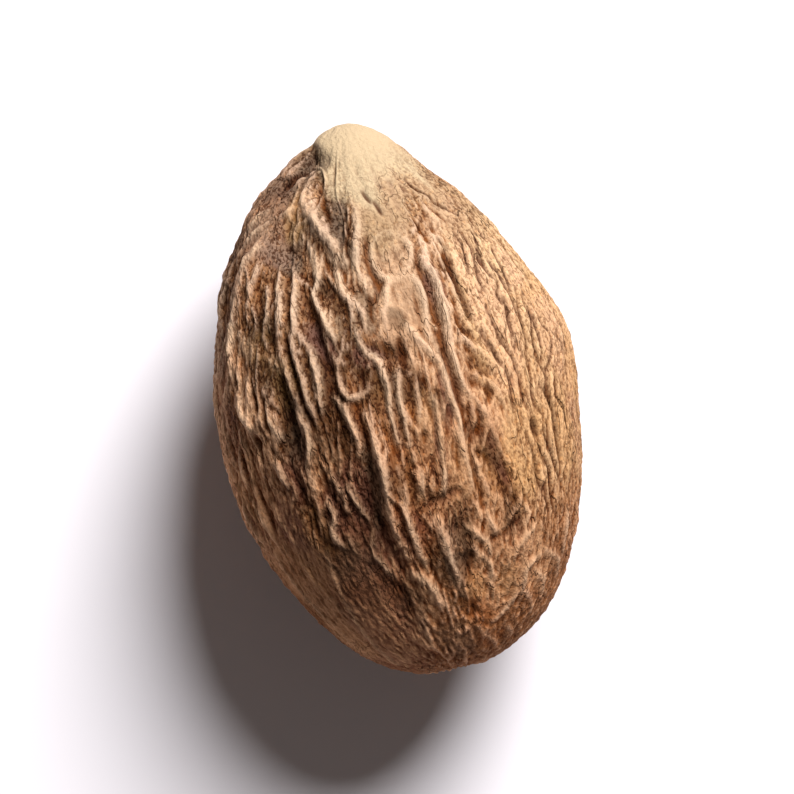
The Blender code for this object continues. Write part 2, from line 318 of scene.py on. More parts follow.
FURROWS = (
    ((-1.0, 13.3), (-0.95, 12.6), (-1.05, 11.9), (-1.1, 11.2), (-0.95, 10.4), (-0.65, 9.5), (-0.45, 8.6)),
    ((0.75, 8.7), (0.5, 7.7), (0.45, 6.9), (0.65, 6.1)),
    ((2.95, 7.4), (2.95, 6.2), (3.1, 4.2), (3.1, 2.0), (3.15, 0.0), (3.25, -1.8)),
    ((-2.15, 0.4), (-2.1, -1.4), (-2.3, -3.0), (-2.5, -4.6), (-2.4, -6.2), (-2.1, -7.7), (-1.8, -8.9)),
    ((-2.9, 10.9), (-3.5, 10.3), (-4.0, 9.6)),
    ((-4.85, 4.6), (-4.85, 3.0), (-4.8, 1.4)),
    ((-5.75, 2.4), (-5.7, 0.8), (-5.8, -0.4), (-5.7, -1.8)),
    ((1.6, -7.2), (1.65, -8.6), (1.6, -9.8)),
    ((3.2, -3.8), (3.2, -5.0), (3.2, -6.4)),
    ((3.1, -8.3), (4.1, -8.0), (4.9, -7.5)),
    ((-0.8, 14.55), (-1.15, 14.0), (-1.5, 13.4), (-1.75, 12.9)),
    ((-1.0, 14.3), (-1.3, 13.8), (-1.6, 13.2)),
    ((-5.3, -0.2), (-6.0, -1.0), (-6.4, -1.9)),
    ((-3.3, 6.0), (-3.4, 5.0), (-3.2, 3.6), (-3.2, 2.4)),
    ((0.1, -5.7), (1.1, -5.4), (2.2, -5.3)),
    ((4.0, 3.8), (4.4, 2.9), (5.0, 2.4), (5.6, 1.5)),
    ((4.2, 1.3), (4.7, 0.7), (5.3, 0.1)),
    ((4.2, 0.1), (4.7, -0.4), (5.0, -1.1)),
    ((-6.0, -3.2), (-5.7, -4.4), (-5.8, -5.4)),
    ((3.6, -3.6), (4.2, -4.2), (4.6, -5.0)),
)
SWELLS = (
    ((1.2, 3.4), (1.8, 2.6), (2.2, 1.8)),
    ((3.4, 7.6), (3.6, 5.6), (3.6, 3.2), (3.9, 0.6), (4.5, -1.6)),
    ((0.4, 9.8), (0.2, 8.6), (-0.2, 7.2)),
    ((0.3, 5.0), (0.3, 3.6)),
    ((-1.0, 5.4), (-0.6, 3.8)),
    ((-2.5, 5.2), (-2.3, 3.8)),
    ((-1.4, -0.4), (-1.5, -2.4), (-1.3, -4.6), (-1.2, -6.4), (-0.9, -8.0)),
    ((1.6, 2.2), (2.1, 0.2), (2.2, -2.0), (2.2, -5.0)),
    ((0.7, 0.6), (0.5, -1.4)),
    ((5.0, -1.6), (5.0, -3.2)),
    ((-1.45, 12.6), (-1.6, 11.6), (-1.6, 10.6), (-1.4, 9.6), (-1.05, 8.7)),
    ((-1.6, 12.2), (-1.75, 11.2)),
    ((0.8, -6.8), (0.9, -9.6)),
    ((-0.9, -9.6), (0.0, -11.4)),
    ((2.4, -10.6), (2.0, -12.4)),
    ((-6.9, 6.5), (-7.8, 4.7), (-8.1, 3.4)),
    ((-7.9, 2.2), (-7.7, 0.5)),
    ((0.4, -2.8), (0.5, -4.4)),
    ((1.4, 2.0), (1.5, 0.9)),
    ((-4.3, 5.6), (-4.5, 3.4), (-4.4, 1.2)),
    ((-5.0, 9.4), (-6.0, 8.0), (-6.7, 6.6)),
    ((5.4, -8.6), (4.4, -10.4), (4.2, -12.0)),
)
VALLEYS = (
    ((-0.3, 11.1), (-0.2, 10.1), (0.0, 9.2)),
    ((-3.3, 6.2), (-3.35, 4.6), (-3.2, 2.8), (-3.2, 1.4)),
    ((-0.9, 3.1), (-0.1, 2.8), (0.4, 2.1)),
    ((-2.2, -1.0), (-2.5, -3.0), (-2.9, -4.8), (-2.7, -6.4), (-2.4, -7.8)),
    ((-5.7, 2.6), (-5.7, 0.8), (-6.0, -1.2), (-6.2, -3.0)),
    ((-2.3, -9.4), (-2.4, -11.4), (-2.6, -13.4)),
    ((-4.6, -2.8), (-4.4, -5.0)),
    ((3.5, -2.6), (4.0, -4.0), (4.3, -5.4)),
    ((0.6, 7.6), (0.5, 6.4), (0.0, 5.5)),
    ((-3.2, 10.4), (-3.8, 9.2)),
    ((1.5, -6.8), (1.5, -7.8)),
    ((1.5, -8.6), (1.5, -9.4)),
)
STILL_PLACES = (
    ((-6.3, 5.6), (-6.3, 3.4)),
    ((-3.8, -8.0), (-3.4, -11.0)),
)
PITS = (
    ((-0.55, 13.45), 0.62),
    ((-1.25, 13.9), 0.50),
    ((-1.65, 1.8), 0.42),
    ((-2.0, 2.7), 0.40),
    ((0.1, 2.6), 0.40),
    ((-5.8, -1.2), 0.75),
    ((-3.7, 8.9), 0.55),
    ((1.5, -11.8), 0.40),
    ((1.5, -7.3), 0.45),
    ((3.9, -2.5), 0.34),
    ((1.5, -8.9), 0.45),
    ((-7.6, -0.3), 0.40),
)
SLITS = (
    ((5.5, 1.9), (5.8, 0.6)),
    ((6.15, 2.9), (6.3, 1.6), (6.55, 0.6), (6.6, -0.5)),
    ((6.2, 6.8), (6.3, 5.8), (6.7, 5.0)),
    ((6.9, 4.0), (6.95, 3.1), (6.85, 1.8)),
    ((7.0, 6.6), (7.25, 5.4), (7.4, 4.2)),
    ((7.6, -3.0), (7.4, -4.6), (7.45, -5.8)),
    ((3.5, 11.3), (4.1, 10.4), (4.5, 10.0)),
    ((4.5, 9.8), (5.1, 9.3), (5.7, 8.8)),
    ((4.1, 7.8), (4.6, 7.1)),
    ((8.5, 4.8), (8.6, 4.1)),
    ((6.6, -6.0), (6.5, -7.4)),
    ((8.2, 3.0), (8.3, 1.4), (8.1, 0.2)),
    ((1.4, -11.4), (1.5, -11.9)),
    ((1.05, 11.3), (1.2, 10.9), (1.4, 10.5)),
    ((1.5, 10.6), (1.65, 10.2), (1.75, 9.8)),
)
WIDE_SLITS = (
    ((-1.75, 13.35), (-2.25, 13.1), (-2.85, 12.7), (-3.45, 12.2)),
    ((-1.9, 13.2), (-2.5, 12.85), (-3.1, 12.4)),
    ((4.35, 6.9), (4.5, 6.0), (4.7, 5.0), (4.85, 4.2), (4.95, 3.4)),
    ((8.05, -1.0), (8.1, -2.4), (8.0, -3.8), (7.8, -5.0)),
    ((6.8, -2.7), (6.9, -3.5)),
    ((0.8, 3.1), (0.75, 2.4), (0.8, 1.7)),
)
# Paler skin in places, and painted light where places are brightened to make up for how the light falls on them,
# such as towards the blunt end.
PALE_AND_LIT_PATCHES = (
    (1.8, 5.6, 1.5, 3.2),
    (0.2, 4.3, 0.7, 1.0),
    (-0.15, 7.7, 0.9, 2.2),
    (-1.6, 11.4, 0.7, 1.5),
    (-2.4, 4.6, 0.6, 1.0),
    (3.6, 2.0, 0.9, 3.0),
    (4.8, -2.6, 1.4, 1.4),
    (3.2, -7.6, 1.4, 1.0),
    (-7.7, 4.6, 0.8, 1.5),
    (2.2, 1.6, 1.3, 1.6),
    (2.2, -3.4, 1.3, 3.0),
    (3.1, -9.6, 1.0, 1.6),
    (4.4, 4.6, 0.7, 1.2),
    (3.0, -10.6, 1.2, 1.2),
    (-4.5, -1.8, 0.8, 1.6),
    (-7.5, -1.5, 0.7, 1.2),
    (1.0, -3.6, 1.3, 2.6),
    (1.5, -5.8, 0.8, 1.0),
    (1.5, 1.0, 1.0, 1.7),
    (-0.3, -9.0, 1.2, 1.2),
    (-6.0, 2.8, 0.7, 0.8),
    (-1.4, 8.9, 0.6, 0.8),
    (-4.6, 10.3, 0.8, 0.9),
    (-6.9, -8.0, 1.6, 2.2),
    (-1.4, -7.4, 1.0, 1.4),
    (6.0, -8.8, 1.2, 1.4),
    (4.6, 8.6, 1.2, 1.6),
    (3.3, 10.4, 1.3, 0.8),
    (0.2, -3.6, 0.9, 1.8),
    (-3.0, -13.2, 1.2, 0.9),
    (-8.9, -2.0, 0.9, 7.0),
    (-7.6, -5.2, 0.8, 3.4),
    (-6.2, -10.6, 1.0, 1.6),
    (-1.3, -10.0, 0.9, 2.6),
    (-5.8, -8.8, 0.9, 1.2),
    (-5.0, -11.6, 1.6, 2.0),
    (1.5, 7.0, 1.4, 1.2),
    (4.4, -0.2, 0.7, 0.8),
    (5.0, -9.4, 1.8, 1.8),
    (3.0, -1.6, 0.6, 3.0),
)
# Darker skin in places, and painted shade where the seed lies in shade, such as the strip along the top-left outline
# and the notch by the button.
DARK_AND_SHADE_PATCHES = (
    (-3.9, 1.0, 1.3, 3.6),
    (-3.2, -4.6, 1.6, 2.4),
    (-5.9, -1.2, 1.2, 1.6),
    (-0.1, 2.7, 0.9, 0.6),
    (4.2, -4.4, 1.0, 1.2),
    (1.4, -8.0, 0.9, 1.6),
    (-6.1, -1.0, 1.0, 4.4),
    (-3.1, 3.0, 1.0, 2.0),
    (-1.5, 3.0, 0.8, 3.4),
    (-0.1, -0.2, 1.0, 1.3),
    (-3.0, -7.6, 0.8, 1.8),
    (-4.6, -4.6, 0.9, 0.9),
    (-3.4, -1.6, 0.5, 1.6),
    (-2.9, -8.6, 0.9, 2.4),
    (-1.5, 4.6, 0.6, 0.7),
    (-0.3, 10.2, 0.8, 1.6),
    (0.1, 8.9, 0.8, 0.9),
    (0.1, 5.9, 0.6, 0.8),
    (-0.2, 4.6, 0.6, 0.7),
    (-7.0, 2.0, 0.9, 1.5),
    (-6.1, 1.2, 0.8, 1.6),
    (-7.5, 7.4, 1.2, 1.1),
    (-6.1, -3.1, 1.1, 1.6),
    (-3.3, -10.4, 1.0, 1.6),
    (-4.6, -6.8, 1.2, 1.4),
    (1.2, -10.8, 0.7, 0.8),
    (-1.5, 7.2, 0.5, 1.2),
    (1.4, -1.6, 0.9, 1.0),
    (1.5, 4.6, 0.6, 0.8),
    (-1.5, 10.6, 0.7, 1.4),
    (-3.6, -5.4, 1.4, 1.5),
    (-1.8, 13.6, 1.0, 0.8),
    (4.6, -6.7, 0.8, 1.1),
    (-5.8, 10.0, 1.0, 1.0),
    (-3.6, 12.6, 1.8, 0.8),
    (-1.3, 13.7, 0.9, 1.1),
    (-6.1, 4.9, 0.7, 0.9),
    (-3.3, 9.2, 1.1, 1.0),
)
RUST_PATCHES = (
    (6.4, -1.1, 0.5, 1.0),
    (8.4, -6.4, 0.6, 1.0),
    (1.9, -11.8, 0.9, 1.0),
    (2.0, -13.4, 0.7, 0.5),
    (-8.6, 2.9, 0.6, 0.9),
    (6.1, -10.5, 0.3, 0.4),
    (-0.8, -8.0, 0.5, 0.8),
)
GOLD_PATCHES = (
    (5.6, -4.4, 0.9, 1.8),
    (9.6, -0.2, 0.6, 1.6),
    (8.4, 4.0, 0.7, 0.8),
    (-1.9, 11.6, 0.7, 0.8),
    (2.2, -10.2, 0.5, 0.8),
    (5.8, 5.4, 0.4, 1.2),
)
GREY_PATCHES = (
    (-3.2, 9.4, 0.9, 1.3),
    (-1.7, 13.5, 0.7, 0.8),
    (-2.9, 12.7, 1.1, 0.5),
    (-0.2, 10.3, 0.5, 1.2),
    (-0.5, 13.5, 0.6, 0.5),
    (-5.7, 0.3, 0.5, 2.0),
    (-5.9, -1.2, 0.6, 0.9),
    (-2.1, -11.8, 0.5, 1.8),
    (1.6, -8.6, 0.4, 1.6),
    (1.7, -10.1, 0.4, 0.5),
    (-2.5, -4.0, 0.4, 3.0),
    (-4.0, -8.6, 1.2, 2.0),
    (-0.2, -13.4, 1.4, 1.0),
)
MAUVE_PATCHES = (
    (4.3, -4.6, 0.9, 1.3),
    (-3.4, 3.4, 0.7, 1.6),
    (-1.0, 2.5, 0.9, 0.7),
    (-3.6, -4.6, 1.2, 1.8),
    (-6.0, -3.0, 0.9, 1.6),
    (0.6, -4.2, 0.7, 0.9),
    (-7.4, -5.4, 1.0, 1.6),
    (3.9, 5.6, 0.4, 1.6),
    (-3.8, 9.4, 0.8, 1.0),
    (2.4, -0.6, 0.6, 1.2),
)
LINES = (
    ((6.3, 7.4), (6.35, 6.4), (6.4, 5.5), (6.75, 4.8), (6.65, 4.2), (7.0, 3.4), (7.0, 2.6), (6.95, 1.8), (6.7, 1.1)),
    ((6.0, 3.8), (6.15, 2.6), (6.4, 1.0), (6.55, 0.0), (6.65, -1.0), (6.6, -2.0)),
    ((5.3, 2.6), (5.6, 1.7), (5.8, 0.5)),
    ((8.0, 4.4), (7.9, 3.3), (8.1, 2.6), (8.0, 2.0), (7.9, 1.0), (8.0, 0.0), (8.15, -0.8)),
    ((8.4, 2.5), (8.8, 1.8), (8.85, 1.0), (8.55, 0.3), (8.2, -0.3)),
    ((7.7, -0.9), (8.0, -1.8), (8.1, -2.7), (8.05, -3.7), (7.85, -4.7), (7.6, -5.8)),
    ((6.7, 6.0), (7.05, 4.9), (7.3, 3.8), (7.4, 2.8)),
    ((7.6, 7.0), (8.0, 5.8), (8.5, 4.6), (8.7, 3.8)),
    ((8.6, -0.7), (8.5, -1.7), (8.7, -2.6), (8.55, -3.6)),
    ((9.2, 1.6), (9.35, 0.4), (9.2, -0.8), (9.1, -2.0)),
    ((5.3, 8.4), (5.9, 7.2), (5.95, 6.2), (5.9, 5.2), (6.1, 4.4)),
    ((4.6, 9.2), (5.2, 8.0), (5.5, 6.8), (5.4, 5.6)),
    ((7.2, 0.8), (7.25, -0.4), (7.1, -1.4), (7.3, -2.4)),
    ((6.2, -3.2), (6.3, -4.4), (6.2, -5.6), (6.4, -6.8)),
    ((6.8, -4.0), (6.95, -5.2), (6.85, -6.4), (6.9, -7.6)),
    ((7.3, -3.0), (7.35, -4.2), (7.4, -5.4), (7.5, -6.6)),
    ((8.3, -4.6), (8.2, -5.6), (7.9, -6.8), (7.6, -7.8)),
    ((5.9, 0.4), (6.0, -0.8), (5.9, -1.8)),
    ((7.6, 4.2), (7.5, 3.0), (7.55, 1.8), (7.4, 0.8)),
)
STROKE_STEP = 0.06


def curve_through(points):
    """A smooth curve through the points, read at close steps."""
    points = np.array(points, float)
    padded = np.vstack([2.0 * points[0] - points[1], points, 2.0 * points[-1] - points[-2]])
    reads = []
    for a, b, c, d in zip(padded, padded[1:], padded[2:], padded[3:]):
        count = max(int(np.linalg.norm(c - b) / STROKE_STEP), 2)
        t = np.linspace(0.0, 1.0, count, endpoint=False)[:, None]
        reads.append(0.5 * (
            2.0 * b + (c - a) * t + (2.0 * a - 5.0 * b + 4.0 * c - d) * t ** 2
            + (3.0 * b - a - 3.0 * c + d) * t ** 3
        ))
    return np.vstack(reads + [points[-1:]])


def grid_place(across, along_y):
    """Row and column, with fractions, of a point seen from above."""
    along = np.clip(0.5 - along_y / LENGTH, 0.0, 1.0)
    off = across - POINT_LEAN * (1.0 - along) ** LEAN_FALL
    reach = np.where(off > 0.0, REACH_RIGHT, REACH_LEFT) * taper(along)
    turn = np.arcsin(np.clip(off / reach, -1.0, 1.0))
    row = np.interp(along, PATH_ALONG, PATH_LENGTH) / ROW_STEP - 0.5
    column = (turn + math.pi) / (2.0 * math.pi) * COLUMNS - 0.5
    return row, column


def stroke(field, half_width, roundness, path):
    """Draw one fold into the field, sharp along its middle when roundness is 1; its ends run out."""
    curve = curve_through(path)
    rows, columns = grid_place(curve[:, 0], curve[:, 1])
    shares = np.sin(np.linspace(0.10, 0.90, len(curve)) * math.pi) ** 0.5
    for row, column, share in zip(rows, columns, shares):
        radius = max(ROW_RADIUS[int(row)], SMALLEST_RADIUS)
        column_size = 2.0 * math.pi * radius / COLUMNS
        high = int(3.6 * half_width / ROW_STEP) + 1
        wide = int(3.6 * half_width / column_size) + 1
        r = np.arange(max(int(row) - high, 0), min(int(row) + high + 1, ROWS))
        c = np.arange(int(column) - wide, int(column) + wide + 1)
        apart = np.hypot(
            ((r - row) * ROW_STEP)[:, None], ((c - column) * column_size)[None, :]
        )
        brush = share * np.exp(-(apart / half_width) ** roundness)
        window = np.ix_(r, c % COLUMNS)
        field[window] = np.maximum(field[window], brush)


def strokes(paths, half_width, roundness):
    """A field with all these folds drawn in."""
    field = np.zeros((ROWS, COLUMNS))
    for path in paths:
        stroke(field, half_width, roundness, path)
    return field


def pits():
    """A field with the round hollows drawn in."""
    field = np.zeros((ROWS, COLUMNS))
    for (across, along_y), radius in PITS:
        stroke(field, radius, 2.0, ((across, along_y + 0.3 * radius), (across, along_y - 0.3 * radius)))
    return field


# ---------------------------------------------------------------- the relief

def mixed_share(first, second, share):
    """The first field turned into the second by a share."""
    return first + (second - first) * share


def from_place(place):
    """Distance of every grid point from a place."""
    return np.linalg.norm(GRID - np.array(place), axis=-1)


FROM_BUTTON = from_place(BUTTON_AT)
EDGE = 0.5 * noise(0.9, 1.4, 61)
STREAKS = 0.9 * noise(0.30, 2.6, 62)
UPPER = rise(GRID_Z, -1.0, 2.5)
PLATEAU = rise(GRID_X + EDGE, 4.2, 6.0) * rise(GRID_Y + EDGE, -9.0, -5.5) * rise(GRID_Z, -6.0, -1.0)
PLATEAU *= 1.0 - rise(GRID_Y + EDGE, 9.0, 12.0)
NET = rise(GRID_X, 1.5, 4.0) * (1.0 - rise(GRID_Y + EDGE, -8.5, -5.5))
FLUTED = rise(-GRID_X, 1.2, 4.2) * (1.0 - rise(GRID_Y + EDGE, -8.0, -4.5))
SIDES = rise(np.abs(GRID_X), 6.0, 8.5)
ENDS = rise(np.abs(GRID_Y), 11.5, 14.5)
DRAWN = UPPER * (1.0 - SIDES) * (1.0 - ENDS)
RINGED = rise(GRID_X, 0.2, 0.7) * rise(-GRID_X, -3.2, -2.7) * rise(GRID_Y + EDGE, 2.2, 3.2) * UPPER
BUTTON = 1.0 - rise(FROM_BUTTON + EDGE, 2.0, 4.2)
BUTTON *= mixed_share(1.0, rise(GRID_X - 0.5 * (14.5 - GRID_Y), -1.0, -0.5), rise(GRID_Z, -0.5, 1.0))
TOP_LEFT = rise(-GRID_X - EDGE, 2.0, 3.0) * rise(GRID_Y + EDGE, 8.4, 9.6) * UPPER
LOWER = rise(-GRID_Y, -1.0, 2.0)
LOW_END = rise(-GRID_Y, 5.0, 10.0) * (1.0 - rise(GRID_X, 1.0, 3.0))
NECK = rise(GRID_Y + EDGE, 7.8, 9.8) * rise(GRID_X, -0.3, 0.8) * UPPER
UPPER_RING = RINGED * rise(GRID_Y, 5.6, 6.6) * (1.0 - NECK)
CREAM_SIDE = rise(GRID_X + 1.3 * np.minimum(GRID_Y - 11.6, 0.0), -1.3, -0.4)
CREAM = np.maximum(BUTTON, rise(GRID_Y + 0.7 * STREAKS - 0.45 * np.maximum(GRID_X - 2.0, 0.0), 9.6, 11.7) * CREAM_SIDE * UPPER)


def relief():
    """Height of the skin above the smooth form, and the fields that colour it."""
    waver = 0.030 * noise(3.0, 3.0, 21) + 0.012 * noise(1.0, 0.9, 22) + 0.004 * noise(0.4, 0.35, 23)
    waver *= rise(ROW_ALONG, 0.0, 0.12)[:, None]
    lively = rise(noise(1.5, 2.5, 24), -1.0, 1.0)
    folds = band(1.0, 3.0, 32)
    short = 0.34 + 0.42 * ridges(1.50, 2.8, 31, 0.20) + 0.16 * folds * (0.4 + 0.6 * lively)
    long = 0.34 + 0.36 * ridges(1.05, 6.0, 30, 0.20) + 0.14 * folds
    net = 0.36 + 0.34 * ridges(1.05, 1.6, 33, 0.22) + 0.14 * folds
    flutes = 0.42 + 0.14 * ridges(0.90, 10.0, 34, 0.18) + 0.08 * band(1.5, 6.0, 35)
    wild = mixed_share(short + 0.06 * noise(0.6, 1.4, 39), long, SIDES)
    wild = mixed_share(wild, net, NET)
    wild = mixed_share(wild, flutes, FLUTED)
    soft = 0.38 + 0.28 * ridges(1.25, 4.5, 37, 0.34) + 0.16 * folds
    wild = mixed_share(soft, wild, UPPER)
    wild = mixed_share(turned(wild, waver), 0.50 + 0.05 * folds, RINGED)

    small_waver = 0.35 * waver
    bold, thin = strokes(BOLD_CRESTS, 0.34, 1.5), strokes(THIN_CRESTS, 0.22, 1.4)
    bright = turned(strokes(BRIGHT_CRESTS, 0.17, 1.6), small_waver) * (1.0 - 0.5 * rise(-GRID_Y, 8.5, 11.5) * rise(GRID_X, -3.5, -1.5)) * (1.0 - 0.2 * FLUTED)
    borders = np.maximum(strokes(BOLD_CRESTS, 0.72, 3.0), 0.8 * strokes(THIN_CRESTS, 0.50, 3.0))
    crests = turned(np.maximum(bold, 0.85 * thin), small_waver) * (1.0 - 0.50 * FLUTED) * (1.0 - 0.35 * LOW_END)
    borders = turned(borders, small_waver) * (1.0 - crests)
    shoulders = np.maximum(strokes(BOLD_CRESTS, 0.80, 1.6), 0.8 * strokes(THIN_CRESTS, 0.55, 1.6))
    shoulders = turned(shoulders, small_waver)
    furrows = turned(np.maximum(strokes(FURROWS, 0.25, 1.6), pits()), small_waver)
    still = np.maximum(0.35 * DRAWN, 0.55 * turned(strokes(VALLEYS, 0.60, 2.0), small_waver))
    still = np.maximum(still, np.maximum(0.60 * TOP_LEFT, 0.70 * strokes(STILL_PLACES, 1.1, 3.0)))
    form = 0.42 + (wild - 0.42) * (1.0 - still) * (1.0 - 0.6 * crests) - 0.12 * crests
    knobbly = rise(noise(0.35, 0.8, 47), -1.3, 0.7)
    form += (0.30 + 0.48 * knobbly) * crests + 0.26 * shoulders - (1.0 - 0.3 * FLUTED) * (0.16 * borders + 0.56 * furrows)
    swells = strokes(SWELLS, 0.85, 2.0) - strokes(VALLEYS, 0.60, 2.0)
    form += 0.42 * turned(swells, small_waver) + 0.26 * bright

    grooves = turned(thin_lines(0.42, 9.0, 36, 3.0), waver)
    lines = turned(strokes(LINES, 0.10, 2.0), 0.6 * waver)
    flat = 0.66 - 0.11 * (1.0 - 0.8 * NECK) * grooves * (0.35 + 0.65 * lively) + 0.05 * folds
    flat += (0.07 + 0.08 * LOWER) * PLATEAU * turned(ridges(0.90, 7.0, 46, 0.22), waver)
    calm = np.maximum(0.85 * PLATEAU, 0.85 * NECK) * (1.0 - 0.8 * crests)
    form = mixed_share(form, flat, calm)
    slits = np.maximum(turned(strokes(SLITS, 0.11, 2.0), small_waver), 0.9 * lines * (1.0 - 0.8 * NECK))
    wide_slits = turned(strokes(WIDE_SLITS, 0.24, 2.4), small_waver)
    form = mixed_share(form, 0.70 + 0.03 * folds, BUTTON * (1.0 - np.minimum(furrows, 1.0)))
    form -= 0.45 * slits + 0.60 * wide_slits
    slits = np.maximum(slits, wide_slits)

    form -= 0.20 * FLUTED * (form - 0.42)
    height = WRINKLE_HEIGHT * form * (1.0 - 0.65 * rise(ROW_ALONG, 0.68, 0.96)[:, None])
    height += 0.11 * noise(1.4, 2.6, 25) * (1.0 - np.maximum(np.maximum(BUTTON, SIDES), ENDS))
    height += DETAIL_HEIGHT * band(0.38, 2.6, 26) * (1.0 - 0.7 * np.maximum(BUTTON, np.maximum(CREAM, RINGED)))
    height += BUTTON_HEIGHT * mound(FROM_BUTTON, BUTTON_RADIUS)
    height -= WAIST_DEPTH * mound(np.abs(FROM_BUTTON - WAIST_RADIUS), WAIST_WIDTH)
    height -= NICK_DEPTH * mound(from_place(NICK_AT), NICK_RADIUS)
    height -= PIT_DEPTH * mound(from_place(PIT_AT), PIT_RADIUS)
    for place, radius, peak in SWELLINGS:
        height += peak * mound(from_place(place), radius)
    return height, np.maximum(0.85 * crests ** 1.5 * (0.25 + 0.75 * knobbly), bright * (0.5 + 0.5 * knobbly)), slits


# ---------------------------------------------------------------- the colours

HOLLOW_BROWN = (0.124, 0.038, 0.009)
# Lighter, redder hollow colour on the fluted left: painted light that lifts the cast shadows there.
FLUTE_SHADE_LIFT_BROWN = (0.185, 0.054, 0.010)
BODY_BROWN = (0.232, 0.110, 0.049)
CREST_TAN = (0.410, 0.258, 0.170)
CREST_PALE = (0.450, 0.335, 0.232)
PLATEAU_GOLD = (0.500, 0.315, 0.165)
BUTTON_CREAM = (0.385, 0.290, 0.182)
PALE_TAN = (0.400, 0.255, 0.155)
OLD_GOLD = (0.440, 0.250, 0.105)
POINT_TINT = (1.0, 1.05, 1.11)
BLUNT_TINT = (1.0, 0.865, 0.765)
PINK_TAN = (0.520, 0.300, 0.180)
MAUVE = (0.170, 0.080, 0.060)
GREY_BROWN = (0.160, 0.108, 0.072)
DUN = (0.225, 0.130, 0.085)
RUST = (0.260, 0.098, 0.034)
OLIVE = (0.240, 0.143, 0.049)
SLIT_BROWN = (0.050, 0.014, 0.004)


def blend(colour, other, share):
    """Colours brought nearer to another colour by a share."""
    return colour + (np.array(other) - colour) * np.clip(share, 0.0, 1.0)[..., None]


def patches(places):
    """Soft oval patches, each given by its middle and its reach across and along, seen from above."""
    field = np.zeros((ROWS, COLUMNS))
    for across, along_y, reach_across, reach_along in places:
        off = ((GRID_X - across + EDGE) / reach_across) ** 2 + ((GRID_Y - along_y + EDGE) / reach_along) ** 2
        field = np.maximum(field, 1.0 - rise(off, 0.4, 1.6))
    return field * UPPER


